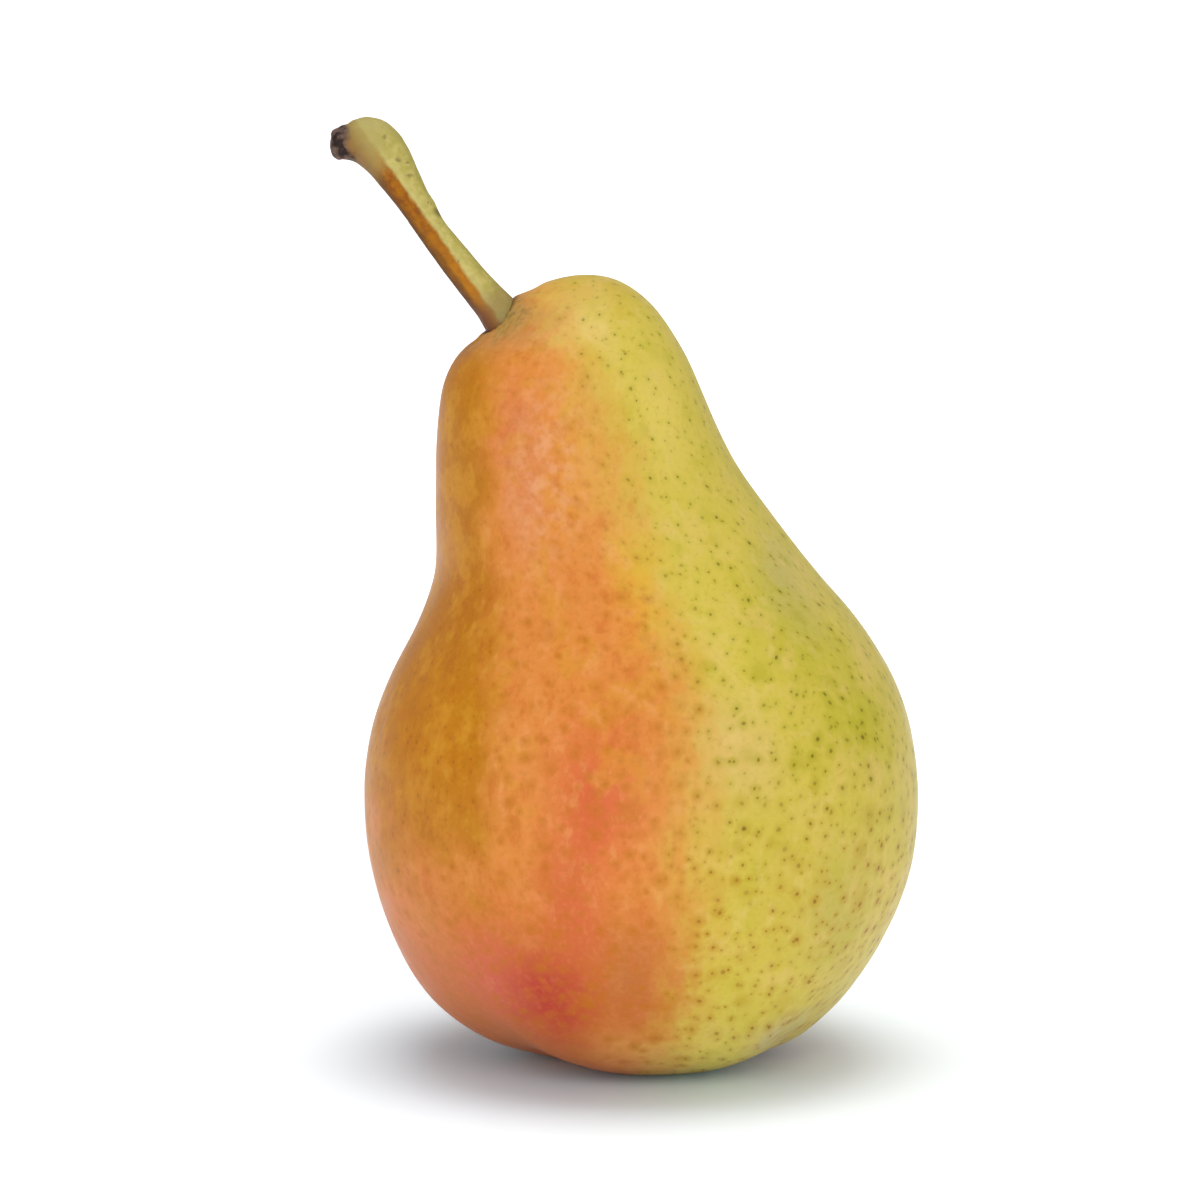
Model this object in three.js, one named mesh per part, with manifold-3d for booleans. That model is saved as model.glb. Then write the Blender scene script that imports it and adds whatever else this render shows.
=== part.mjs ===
// A ripe dessert pear, as picked: the fruit, its stem, and the dried calyx in the eye at its base.
// Millimetres, +Z up. The pear stands on its calyx end, and its neck and stem lean towards -X.
// The side that -Y faces is called the front.

import * as THREE from "three";
import { mergeVertices } from "three/addons/utils/BufferGeometryUtils.js";
import Module from "manifold-3d";

const wasm = await Module();
wasm.setup();

const FULL_TURN = 2 * Math.PI;

// The fruit's outline seen from the front, in ribs from the eye up to the lip of the stem's socket. Each
// rib is a closed ring across the fruit: left x, z and right x, z of its two ends on the outline, then its
// half depth, its middle y, and the drop of its front and back below the straight line between the ends.
const FRUIT_RIBS = [
  [0.2, 6.2, 2.8, 6.2, 1.3, 0, 0], // the floor of the eye, which the calyx sits on
  [-1.6, 6.1, 4.6, 6.1, 3.1, 0, 0],
  [-3.4, 4.8, 6.4, 4.8, 4.9, 0, 0], // the wall of the eye
  [-5.6, 2.0, 8.6, 2.0, 7.1, 0, 0],
  [-8.6, -0.4, 11.4, -0.4, 10.0, 0, 0], // the rounded rim of the eye, which the pear rests on
  [-13.2, 0.6, 15.6, 0.5, 13.8, 0, 0],
  [-19.8, 2.5, 20.6, 2.4, 18.7, 0, 0],
  [-25.9, 6.5, 25.1, 6.2, 23.9, 0, 0],
  [-30.2, 11.6, 29.3, 11.4, 28.4, 0.2, 0],
  [-33.5, 18.6, 32.9, 18.6, 32.3, 0.4, 0],
  [-35.8, 26.4, 35.4, 26.4, 34.8, 0.5, 0],
  [-36.6, 34.7, 36.2, 34.7, 35.7, 0.6, 0], // the widest part of the bulb
  [-35.6, 43.2, 35.7, 43.4, 35.0, 0.7, 0],
  [-32.8, 50.6, 32.9, 51.3, 32.6, 0.8, 0],
  [-29.1, 57.3, 28.1, 58.4, 28.9, 0.9, 0],
  [-26.9, 63.9, 22.8, 64.4, 25.0, 0.8, 0],
  [-26.7, 70.2, 17.4, 71.4, 21.8, 0.5, 0], // the waist, straight on the left and sloping on the right
  [-26.5, 76.6, 13.0, 77.6, 19.6, 0.1, 0],
  [-26.1, 82.9, 9.7, 84.1, 18.2, -0.4, 0.3],
  [-25.4, 88.4, 6.8, 90.8, 16.6, -0.8, 0.6],
  [-23.8, 91.9, 4.0, 95.8, 14.6, -1.1, 0.9],
  [-22.3, 93.6, 0.8, 99.8, 12.0, -1.3, 1.2], // the shoulder, higher on the right of the stem
  [-21.3, 94.3, -3.7, 102.5, 9.4, -1.4, 1.5],
  [-20.9, 94.8, -9.1, 102.7, 7.0, -1.5, 1.5],
  [-20.5, 95.2, -13.2, 101.5, 4.8, -1.5, 1.1], // the lip round the foot of the stem
];
const RINGS_PER_RIB = 2;
const FRUIT_SIDES = 72;

// Five valleys run up the bulb from the rim of the eye and die out below the widest part: the turn that
// each lies at, as a share of a turn from +X, and its strength. The broadest lobe faces the front.
const VALLEYS = [
  { turn: 0.61, strength: 1.1 },
  { turn: 0.92, strength: 0.8 },
  { turn: 0.12, strength: 0.7 },
  { turn: 0.27, strength: 0.9 },
  { turn: 0.43, strength: 0.6 },
];
const VALLEY_WIDTH = 0.055; // half its width, as a share of a turn
const VALLEY_DEPTH = 0.05; // how far a valley of strength 1 lies in, as a share of the radius
const VALLEY_RISE = 1.1; // how far it lifts the rim of the eye
const VALLEY_RIM_Z = 1;
const VALLEY_END_Z = 28;
const EYE_SHARE = { wall: 0.06, rim: 0.2 }; // where the eye's round wall turns into the lobed outside

// Broad low swells in the skin: the height as a share of the radius, how many there are round the
// fruit, how much they turn for each millimetre up, and where the first one lies.
const SKIN_SWELLS = [
  { height: 0.009, count: 2, twist: 0.045, start: 0.6 },
  { height: 0.007, count: 3, twist: -0.06, start: 2.1 },
  { height: 0.004, count: 5, twist: 0.11, start: 4.0 },
];

// The stem's middle line, with its radius: x, y, z, radius.
const STEM_LINE = [
  [-14.6, -1.5, 92.6, 2.5], // in the socket
  [-17.8, -1.5, 97.5, 2.45], // where the flesh holds it
  [-21.0, -1.4, 101.3, 2.2],
  [-23.8, -1.1, 104.8, 2.15],
  [-26.9, -0.7, 108.8, 2.0],
  [-29.0, -0.4, 112.1, 2.25],
  [-31.1, -0.3, 115.5, 2.8], // the stem swells into its knob
  [-33.0, -0.4, 118.3, 3.3],
  [-34.7, -0.7, 119.7, 3.45],
  [-36.4, -1.0, 120.0, 2.8],
  [-37.9, -1.2, 119.7, 1.95], // the rounded scar where it came away from the twig
  [-39.0, -1.3, 119.4, 1.4],
];
const STEM_TIP = new THREE.Vector3(-39.6, -1.3, 119.2);
const STEM_EDGES = [
  { height: 0.09, count: 2, twist: 0.5, start: 0 },
  { height: 0.05, count: 3, twist: -0.9, start: 0 },
];
const BUD_SCAR = { place: 4.6, turn: 0.02, length: 0.28, width: 0.11, height: 0.3 };
const STEM_RINGS_PER_POINT = 3;
const STEM_SIDES = 20;
const DIRECTION_STEP = 0.05; // between the two places that give the stem's direction
const STEM_GAP = 0.45; // between the stem's middle form and the flesh of its socket
const SOCKET_PLACES = [0.75, 0.4, 0]; // the socket's rings, as places along the stem's line

// The calyx: a low ring with five dried sepals and a tuft of withered stamens.
const CALYX_MIDDLE = new THREE.Vector3(1.5, 0, 5.7);
const CALYX_RING = { inner: 1.2, outer: 2.3, height: 1.1 };
const SEPALS = 5;
const SEPAL = { length: 4.6, width: 2.3, thick: 0.6, curl: 1.5 };
const STAMENS = 9;
const STAMEN = { length: 2.4, radius: 0.3, circle: 1.45, lean: 0.25 };

function clamp01(value) {
  return Math.min(1, Math.max(0, value));
}

function smoothStep(low, high, value) {
  const t = clamp01((value - low) / (high - low));
  return t * t * (3 - 2 * t);
}

// A smooth line through a row of numbers, read at a place between 0 and the last index.
function splineAt(values, place) {
  const i = Math.min(values.length - 2, Math.floor(place));
  const t = place - i;
  const [a, b, c, d] = [i - 1, i, i + 1, i + 2].map(
    (k) => values[Math.min(values.length - 1, Math.max(0, k))],
  );
  return (
    b +
    0.5 * t * (c - a + t * (2 * a - 5 * b + 4 * c - d + t * (3 * (b - c) + d - a)))
  );
}

function rowAt(rows, place) {
  return rows[0].map((_, column) => splineAt(rows.map((row) => row[column]), place));
}

// A closed surface over rings that all have the same number of points, with a point at each end.
function skin(rings, firstEnd, lastEnd) {
  const sides = rings[0].length;
  const points = [firstEnd, ...rings.flat(), lastEnd];
  const lastIndex = points.length - 1;
  const at = (ring, side) => 1 + ring * sides + (side % sides);
  const faces = [];
  for (let side = 0; side < sides; side++) {
    faces.push(0, at(0, side + 1), at(0, side));
    faces.push(lastIndex, at(rings.length - 1, side), at(rings.length - 1, side + 1));
    for (let ring = 0; ring + 1 < rings.length; ring++) {
      faces.push(at(ring, side), at(ring, side + 1), at(ring + 1, side + 1));
      faces.push(at(ring, side), at(ring + 1, side + 1), at(ring + 1, side));
    }
  }
  const geometry = new THREE.BufferGeometry().setFromPoints(points);
  geometry.setIndex(faces);
  geometry.computeVertexNormals();
  return geometry;
}

// A sum of soft waves round a piece, read at a turn and at a place along the piece.
function wavesAt(waves, turn, along) {
  let height = 0;
  for (const wave of waves) {
    height += wave.height * Math.cos(wave.count * FULL_TURN * turn + wave.twist * along + wave.start);
  }
  return height;
}

// How deep the valleys are at a turn: near 0 on a lobe and 1 in the deepest valley.
function valleyAt(turn) {
  let depth = 0;
  for (const valley of VALLEYS) {
    const away = Math.sin(Math.PI * (turn - valley.turn)) / Math.PI;
    depth += valley.strength * Math.exp(-((away / VALLEY_WIDTH) ** 2));
  }
  return depth;
}

function fruitPoint(rib, turn, share) {
  const [leftX, leftZ, rightX, rightZ, halfDepth, middleY, drop] = rib;
  const [cos, sin] = [Math.cos(FULL_TURN * turn), Math.sin(FULL_TURN * turn)];
  const middleZ = (leftZ + rightZ) / 2;
  const outside = smoothStep(EYE_SHARE.wall, EYE_SHARE.rim, share);
  const valley = valleyAt(turn) * outside * (1 - smoothStep(VALLEY_RIM_Z, VALLEY_END_Z, middleZ));
  const out = 1 - VALLEY_DEPTH * valley + outside * wavesAt(SKIN_SWELLS, turn, middleZ);
  const x = (leftX + rightX) / 2 + ((rightX - leftX) / 2) * cos * out;
  const y = middleY + halfDepth * sin * out;
  const z = middleZ + ((rightZ - leftZ) / 2) * cos - drop * sin ** 2 + VALLEY_RISE * valley;
  // What would reach below the table is the small flat spot that the pear rests on.
  return new THREE.Vector3(x, y, Math.max(0, z));
}

// How far the stem's skin stands off a round section: long soft edges, and the scar of one bud.
function stemRelief(place, turn) {
  const { place: scarPlace, turn: scarTurn, length, width, height } = BUD_SCAR;
  const along = (place - scarPlace) / length;
  const around = Math.sin(Math.PI * (turn - scarTurn)) / (Math.PI * width);
  return wavesAt(STEM_EDGES, turn, place) + height * Math.exp(-(along ** 2) - around ** 2);
}

// A ring round the stem's middle line at a place along it, with a relief or a margin all round.
function stemRing(place, sides, standOff) {
  const [x, y, z, radius] = rowAt(STEM_LINE, place);
  const before = rowAt(STEM_LINE, Math.max(0, place - DIRECTION_STEP));
  const after = rowAt(STEM_LINE, Math.min(STEM_LINE.length - 1, place + DIRECTION_STEP));
  const along = new THREE.Vector2(after[0] - before[0], after[2] - before[2]).normalize();
  return Array.from({ length: sides }, (_, side) => {
    const turn = side / sides;
    const out = radius + standOff(place, turn);
    const across = out * Math.cos(FULL_TURN * turn);
    const deep = out * Math.sin(FULL_TURN * turn);
    return new THREE.Vector3(x + along.y * across, y + deep, z - along.x * across);
  });
}

function fruitGeometry() {
  const rings = [];
  const last = (FRUIT_RIBS.length - 1) * RINGS_PER_RIB;
  for (let ring = 0; ring <= last; ring++) {
    const rib = rowAt(FRUIT_RIBS, ring / RINGS_PER_RIB);
    rings.push(
      Array.from({ length: FRUIT_SIDES }, (_, side) =>
        fruitPoint(rib, side / FRUIT_SIDES, ring / last),
      ),
    );
  }
  const socketWall = () => STEM_GAP;
  for (const place of SOCKET_PLACES) rings.push(stemRing(place, FRUIT_SIDES, socketWall));
  const [leftX, leftZ, rightX, , , middleY] = FRUIT_RIBS[0];
  const eye = new THREE.Vector3((leftX + rightX) / 2, middleY, leftZ);
  const [footX, footY, footZ] = STEM_LINE[0];
  return skin(rings, eye, new THREE.Vector3(footX, footY, footZ - STEM_GAP));
}

function stemGeometry() {
  const rings = [];
  const last = (STEM_LINE.length - 1) * STEM_RINGS_PER_POINT;
  for (let ring = 1; ring <= last; ring++) {
    rings.push(stemRing(ring / STEM_RINGS_PER_POINT, STEM_SIDES, stemRelief));
  }
  const [footX, footY, footZ] = rowAt(STEM_LINE, 1 / STEM_RINGS_PER_POINT);
  return skin(rings, new THREE.Vector3(footX, footY, footZ), STEM_TIP);
}

function solidOf(geometry) {
  const bare = geometry.clone();
  bare.deleteAttribute("normal");
  bare.deleteAttribute("uv");
  const merged = mergeVertices(bare, 1e-4);
  return new wasm.Manifold(
    new wasm.Mesh({
      numProp: 3,
      vertProperties: merged.attributes.position.array,
      triVerts: new Uint32Array(merged.index.array),
    }),
  );
}

function geometryOf(solid) {
  const { vertProperties, triVerts } = solid.getMesh();
  const geometry = new THREE.BufferGeometry();
  geometry.setAttribute("position", new THREE.BufferAttribute(vertProperties, 3));
  geometry.setIndex(new THREE.BufferAttribute(triVerts, 1));
  geometry.computeVertexNormals();
  return geometry;
}

// One dried sepal, pointing down (-Z) from the ring and curling outwards (+X).
function sepalGeometry() {
  const shape = new THREE.Shape();
  shape.moveTo(-SEPAL.width / 2, 0);
  shape.quadraticCurveTo(-SEPAL.width / 2, SEPAL.length / 2, 0, SEPAL.length);
  shape.quadraticCurveTo(SEPAL.width / 2, SEPAL.length / 2, SEPAL.width / 2, 0);
  const blade = new THREE.ExtrudeGeometry(shape, {
    depth: SEPAL.thick,
    bevelEnabled: false,
    curveSegments: 6,
  });
  const position = blade.attributes.position;
  for (let i = 0; i < position.count; i++) {
    const side = position.getX(i);
    const along = position.getY(i);
    const bend = (SEPAL.curl * along) / SEPAL.length;
    const reach = SEPAL.length / SEPAL.curl;
    const out = reach * (1 - Math.cos(bend)) + position.getZ(i) * Math.cos(bend);
    const down = reach * Math.sin(bend) - position.getZ(i) * Math.sin(bend);
    position.setXYZ(i, out, -side, -down);
  }
  return blade;
}

function calyxGeometry() {
  const { inner, outer, height } = CALYX_RING;
  const ring = new THREE.LatheGeometry(
    [
      new THREE.Vector2(0, 0),
      new THREE.Vector2(outer, 0),
      new THREE.Vector2(outer, height),
      new THREE.Vector2(inner, height),
      new THREE.Vector2(inner, height / 2),
      new THREE.Vector2(0, height / 2),
    ],
    20,
  ).rotateX(-Math.PI / 2);
  let calyx = solidOf(ring);
  for (let i = 0; i < SEPALS; i++) {
    const sepal = sepalGeometry()
      .translate((inner + outer) / 2 - SEPAL.thick / 2, 0, -height / 2)
      .rotateZ((FULL_TURN * (i + 0.5)) / SEPALS);
    calyx = calyx.add(solidOf(sepal));
  }
  for (let i = 0; i < STAMENS; i++) {
    const stamen = new THREE.CylinderGeometry(STAMEN.radius, STAMEN.radius, STAMEN.length, 5)
      .rotateX(Math.PI / 2)
      .translate(0, 0, -STAMEN.length / 2)
      .rotateY(STAMEN.lean)
      .translate(STAMEN.circle, 0, -height / 4)
      .rotateZ((FULL_TURN * i) / STAMENS);
    calyx = calyx.add(solidOf(stamen));
  }
  return geometryOf(calyx);
}

function piece(name, geometry, color, roughness) {
  const material = new THREE.MeshStandardMaterial({ color, roughness, metalness: 0 });
  const mesh = new THREE.Mesh(geometry, material);
  mesh.name = name;
  return mesh;
}

const fruit = piece("fruit", fruitGeometry(), 0xd2a24c, 0.38);
const stem = piece("stem", stemGeometry(), 0xa38a42, 0.6);
const calyx = piece("calyx", calyxGeometry(), 0x4a3524, 0.85);
calyx.position.copy(CALYX_MIDDLE);

const pear = new THREE.Group();
pear.name = "pear";
pear.add(fruit, stem, calyx);

// The origin is the middle of the pear's base, under the middle of the box that holds it.
const box = new THREE.Box3().setFromObject(pear, true);
pear.position.set(-(box.min.x + box.max.x) / 2, -(box.min.y + box.max.y) / 2, -box.min.z);

export default pear;
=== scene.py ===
# The looks of a ripe dessert pear: its skin, its woody stem and the dried calyx in its eye.
# Lengths are in metres and +Z is up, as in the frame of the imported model. They are in millimetres
# where a comment says mm, and in the materials of the pear, which scale the place to mm first.

import math

import bmesh
import bpy
import numpy as np
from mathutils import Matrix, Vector, noise


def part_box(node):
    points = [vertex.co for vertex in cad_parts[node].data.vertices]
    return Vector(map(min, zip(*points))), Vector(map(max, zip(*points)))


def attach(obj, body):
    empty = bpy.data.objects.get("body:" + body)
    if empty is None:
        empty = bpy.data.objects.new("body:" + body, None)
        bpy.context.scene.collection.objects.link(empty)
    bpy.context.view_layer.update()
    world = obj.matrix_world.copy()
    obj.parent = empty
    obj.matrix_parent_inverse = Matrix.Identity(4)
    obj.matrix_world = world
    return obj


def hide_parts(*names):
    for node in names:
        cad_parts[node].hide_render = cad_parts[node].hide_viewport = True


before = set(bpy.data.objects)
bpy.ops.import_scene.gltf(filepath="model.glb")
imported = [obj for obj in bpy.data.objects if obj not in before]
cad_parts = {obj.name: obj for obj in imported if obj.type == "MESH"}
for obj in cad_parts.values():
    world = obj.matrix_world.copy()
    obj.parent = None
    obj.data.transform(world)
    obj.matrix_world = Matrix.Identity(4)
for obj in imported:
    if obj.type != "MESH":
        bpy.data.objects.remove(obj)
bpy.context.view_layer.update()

MM = 0.001
BODY = "root"
scene = bpy.context.scene


# Small helpers

def tone(red, green, blue):
    """A linear colour from the 0 to 255 values that a screen shows, by the sRGB curve."""
    def linear(value):
        share = value / 255
        return share / 12.92 if share <= 0.04045 else ((share + 0.055) / 1.055) ** 2.4
    return (linear(red), linear(green), linear(blue), 1.0)


def smooth_step(low, high, value):
    """A smooth rise from 0 at low to 1 at high."""
    share = np.clip((value - low) / (high - low), 0, 1)
    return share * share * (3 - 2 * share)


def bell(value, middle, width):
    """1 at the middle, with a smooth fall to 0 on both sides."""
    return np.exp(-(((value - middle) / width) ** 2))


def waves(turn, parts):
    """A sum of waves round an axis. Each part is a count of waves, a height and a start."""
    return sum(height * np.cos(count * turn + start) for count, height, start in parts)


def distance(points, place):
    return np.linalg.norm(points - place, axis=1)


def direction(low, high):
    return (high - low) / np.linalg.norm(high - low)


def vertex_values(mesh, name):
    """A value with three parts for each vertex of a mesh, as rows."""
    flat = np.empty(len(mesh.vertices) * 3)
    mesh.vertices.foreach_get(name, flat)
    return flat.reshape(-1, 3)


def points_of(mesh):
    return vertex_values(mesh, "co")


def normals_of(mesh):
    return vertex_values(mesh, "normal")


def set_points(mesh, points):
    mesh.vertices.foreach_set("co", points.ravel())
    mesh.update()


def noise_at(points, size_mm, shift):
    """Smooth noise from about -1 to 1 at each point, with lumps of about that size in mm."""
    scaled = points / (size_mm * MM) + shift
    return np.array([noise.noise(Vector(p)) for p in scaled])


NOISE_SHIFTS = (0.0, 31.7, 63.1)  # one for each axis, so that the three differ


def noise_vector_at(place):
    """Smooth noise from about -1 to 1 along each axis, which is the same on every run."""
    return Vector([noise.noise(place + Vector((shift, shift, shift))) for shift in NOISE_SHIFTS])


def add_object(name, data):
    piece = bpy.data.objects.new(name, data)
    scene.collection.objects.link(piece)
    return piece


def shade_smooth(mesh):
    mesh.polygons.foreach_set("use_smooth", [True] * len(mesh.polygons))


WELD_DISTANCE = 0.002 * MM
PAIRED_FACE_ANGLE = math.radians(60)
PAIRED_SHAPE_ANGLE = math.radians(70)


def refined(node, name, levels):
    """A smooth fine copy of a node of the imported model, with its triangles paired into quads."""
    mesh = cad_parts[node].data.copy()
    mesh.materials.clear()
    work = bmesh.new()
    work.from_mesh(mesh)
    bmesh.ops.remove_doubles(work, verts=work.verts, dist=WELD_DISTANCE)
    bmesh.ops.join_triangles(
        work,
        faces=work.faces,
        angle_face_threshold=PAIRED_FACE_ANGLE,
        angle_shape_threshold=PAIRED_SHAPE_ANGLE,
    )
    work.to_mesh(mesh)
    work.free()
    piece = add_object(name, mesh)
    smoother = piece.modifiers.new("smoother", "SUBSURF")
    smoother.levels = levels
    smoother.render_levels = levels
    bpy.context.view_layer.update()
    finished = piece.evaluated_get(bpy.context.evaluated_depsgraph_get())
    fine = bpy.data.meshes.new_from_object(finished)
    piece.modifiers.clear()
    piece.data = fine
    shade_smooth(fine)
    return piece


def even_out(mesh, middle, reach, width):
    """Rounds the edges and fills the corners of that width within the reach of a place."""
    points, normals = points_of(mesh), normals_of(mesh)
    areas = np.zeros(len(points))
    for face in mesh.polygons:
        areas[list(face.vertices)] += face.area
    from_middle = distance(points, middle)
    near = np.flatnonzero(from_middle < reach + 2 * width)
    here = points[near]
    gaps = np.linalg.norm(here[:, None] - here[None], axis=2)
    weights = bell(gaps, 0, width) * areas[near]
    weights /= weights.sum(1)[:, None]
    ways = weights @ normals[near]
    ways /= np.linalg.norm(ways, axis=1)[:, None]
    shifts = ((weights @ here - here) * ways).sum(1)
    fades = 1 - smooth_step(0.6 * reach, reach, from_middle[near])
    points[near] = here + ways * (shifts * fades)[:, None]
    set_points(mesh, points)


def finish_piece(piece, node, material):
    piece.data.materials.clear()
    piece.data.materials.append(material)
    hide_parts(node)
    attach(piece, BODY)


# Places on the pear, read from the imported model

STEM_SLICES = 14
FOOT_SLICES = 3  # the foot's axis runs from the first slice's middle to this one's
FOOT_SPAN = (1 * MM, 5 * MM)  # the part of the foot that its radius is read from
STEM_POINTS = points_of(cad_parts["stem"].data)
STEM_TIP = STEM_POINTS[STEM_POINTS[:, 0].argmin()]
STEM_ALONG = direction(STEM_POINTS[STEM_POINTS[:, 2].argmin()], STEM_POINTS[STEM_POINTS[:, 2].argmax()])


def stem_middle(number):
    """The middle of one of the slices that the stem is cut into, counted from its foot."""
    places = STEM_POINTS @ STEM_ALONG
    edges = np.linspace(places.min(), places.max(), STEM_SLICES + 1)
    here = STEM_POINTS[(places >= edges[number]) & (places <= edges[number + 1])]
    return (here.min(0) + here.max(0)) / 2


STEM_FOOT = stem_middle(0)
FOOT_ALONG = direction(STEM_FOOT, stem_middle(FOOT_SLICES))
calyx_low, calyx_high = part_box("calyx")
EYE = (calyx_low + calyx_high) / 2


def round_stem(points):
    """Where points lie round the axis of the stem's foot.

    Gives the places along the axis, the distances from it, the turns round it (0 on the lower side)
    and the ways out from it.
    """
    away = points - STEM_FOOT
    along = away @ FOOT_ALONG
    across = away - np.outer(along, FOOT_ALONG)
    back = np.array([0.0, 1.0, 0.0])
    lower = np.cross(FOOT_ALONG, back)
    turn = np.arctan2(across @ back, across @ lower)
    reach = np.linalg.norm(across, axis=1)
    return along, reach, turn, across / np.maximum(reach, 1e-6)[:, None]


foot_places, foot_reaches, _, _ = round_stem(STEM_POINTS)
FOOT_RADIUS = np.median(foot_reaches[(foot_places > FOOT_SPAN[0]) & (foot_places < FOOT_SPAN[1])])


# Two flat maps of the skin, so that the lenticels keep their size and distance all round. Each
# map is true along its two middle lines, and the two maps take turns every quarter of the way round.

SKIN_MAPS = [("front_and_back", 0.0), ("left_and_right", math.pi / 2)]  # name, turn of the middle line
HALVES_APART = 0.5  # how far apart the two halves of a map lie
SLICE = 2.5 * MM
SLICED_SHARE = 0.92  # how much of the fruit's height is sliced; the rest is its rounded top
LOBES_END = 8 * MM  # below this the lobes of the base would pull the slices' middles about
EYE_OUTLINE = [(0, 5 * MM), (3.5 * MM, 4.5 * MM), (9 * MM, 0)]  # distance from the middle, height
TOP_DROP = 1 * MM  # how far the top has fallen halfway out to the last slice


def skin_profile(points):
    """The middle of the fruit at each height, and half its outline from the eye to the top."""
    top = points[:, 2].max()
    heights = np.arange(SLICE, SLICED_SHARE * top, SLICE)
    slices = [points[abs(points[:, 2] - height) < SLICE, :2] for height in heights]
    middles = np.array([(here.min(0) + here.max(0)) / 2 for here in slices])
    above_lobes = heights > LOBES_END
    middles[~above_lobes] = middles[above_lobes][0]
    radii = [distance(here, middle).mean() for here, middle in zip(slices, middles)]
    top_outline = [(radii[-1] / 2, top - TOP_DROP), (0, top)]
    return heights, middles, np.array(EYE_OUTLINE + list(zip(radii, heights)) + top_outline)


def climb_along(outline, spots):
    """How far along the outline each spot lies, at the place of the outline nearest to it."""
    nearest = np.full(len(spots), np.inf)
    climb = np.zeros(len(spots))
    climbed = 0.0
    for low, high in zip(outline, outline[1:]):
        length = np.linalg.norm(high - low)
        share = np.clip((spots - low) @ (high - low) / length ** 2, 0, 1)
        gap = np.linalg.norm(spots - low - share[:, None] * (high - low), axis=1)
        closer = gap < nearest
        nearest[closer] = gap[closer]
        climb[closer] = climbed + share[closer] * length
        climbed += length
    return climb


def map_skin(mesh):
    """Lays the skin out flat on both maps, each in two halves that meet at its quarter turns."""
    points = points_of(mesh)
    heights, middles, outline = skin_profile(points)
    away_x = points[:, 0] - np.interp(points[:, 2], heights, middles[:, 0])
    away_y = points[:, 1] - np.interp(points[:, 2], heights, middles[:, 1])
    reach = np.hypot(away_x, away_y)
    turn = np.arctan2(away_x, -away_y)
    climb = climb_along(outline, np.column_stack((reach, points[:, 2])))

    corners = np.empty(len(mesh.loops), dtype=np.int32)
    mesh.loops.foreach_get("vertex_index", corners)
    sides = np.empty(len(mesh.polygons), dtype=np.int32)
    mesh.polygons.foreach_get("loop_total", sides)
    first = np.concatenate(([0], np.cumsum(sides)[:-1]))
    for name, middle_turn in SKIN_MAPS:
        # each face lies wholly in one half
        turned = turn[corners] - middle_turn
        behind = np.repeat(np.add.reduceat(np.cos(turned), first) < 0, sides)
        turned -= np.where(behind, math.pi, 0)
        across = np.arctan2(np.sin(turned), np.cos(turned)) * reach[corners]
        # the halves and the maps lie apart, so that no two of them show the same dots
        apart = HALVES_APART * behind + middle_turn
        layer = mesh.uv_layers.new(name=name)
        layer.data.foreach_set("uv", np.column_stack((across, climb[corners] + apart)).ravel())


# The fruit and the stem. A band is the middle and the width of a bell.

FRUIT_LEVELS = 2
LUMPS = [(19, 0.22, 3.1), (8, 0.09, 11.7), (3.2, 0.03, 23.9)]  # size and height in mm, shift
FLESH_START = -4 * MM  # from this place along the foot's axis, the flesh is shaped to the stem

WRINKLES = [(7, 0.5, 0.8), (11, 0.35, 2.0), (23, 0.4, 0.0)]
WRINKLE_HEIGHT = 0.09 * MM
WRINKLE_BAND = (1.9 * MM, 1.6 * MM)  # outside the stem

PUCKERS = [(10, 1.0, 0.4), (15, 0.5, 1.9)]
PUCKER_HEIGHT = 0.16 * MM
PUCKER_BAND = (6 * MM, 2.6 * MM)  # from the middle of the eye
EYE_TOP = 9 * MM
EYE_REACH = 13 * MM

COLLAR_HEIGHT = 2.7 * MM
COLLAR_BAND = (0.6 * MM, 1.9 * MM)  # outside the stem
COLLAR_POWER = 1.5  # a higher one keeps the collar nearer to the stem's upper side

GRIP_BELOW = 0.55 * MM
GRIP_ADDED_ABOVE = 0.75 * MM
GRIP_FADE = (0.7 * MM, 3.5 * MM)  # outside the stem


def make_fruit():
    piece = refined("fruit", "pear_fruit", FRUIT_LEVELS)
    mesh = piece.data
    points, normals = points_of(mesh), normals_of(mesh)
    along, reach, turn, _ = round_stem(points)
    near_stem = along > FLESH_START

    # the skin's soft lumps
    height = np.zeros(len(points))
    for size, lump, shift in LUMPS:
        height += lump * MM * noise_at(points, size, shift)

    # wrinkles that run up to the foot of the stem
    wrinkles = waves(turn, WRINKLES) * bell(reach - FOOT_RADIUS, *WRINKLE_BAND)
    height += near_stem * WRINKLE_HEIGHT * wrinkles

    # ribs that pucker the wall of the eye
    from_eye = points[:, :2] - np.array(EYE[:2])
    eye_reach = np.linalg.norm(from_eye, axis=1)
    eye_turn = np.arctan2(from_eye[:, 1], from_eye[:, 0])
    in_eye = (points[:, 2] < EYE_TOP) & (eye_reach < EYE_REACH)
    height += in_eye * PUCKER_HEIGHT * waves(eye_turn, PUCKERS) * bell(eye_reach, *PUCKER_BAND)

    points = points + normals * height[:, None]

    # a fleshy collar rises along the upper side of the stem
    upper = (0.5 - 0.5 * np.cos(turn)) ** COLLAR_POWER
    rise = near_stem * upper * COLLAR_HEIGHT * bell(reach - FOOT_RADIUS, *COLLAR_BAND)
    points += FOOT_ALONG * rise[:, None]

    # the flesh closes round the stem
    _, reach, _, outwards = round_stem(points)
    grip = near_stem * (1 - smooth_step(*GRIP_FADE, reach - FOOT_RADIUS))
    grip *= GRIP_BELOW + GRIP_ADDED_ABOVE * upper
    points -= outwards * grip[:, None]

    # nothing reaches below the surface that the pear rests on
    points[:, 2] = np.maximum(points[:, 2], 0)
    set_points(mesh, points)
    map_skin(mesh)
    return piece


STEM_LEVELS = 2
RIDGES = 9
RIDGE_HEIGHT = 0.02 * MM
GRAIN_HEIGHT = 0.05 * MM

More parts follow.
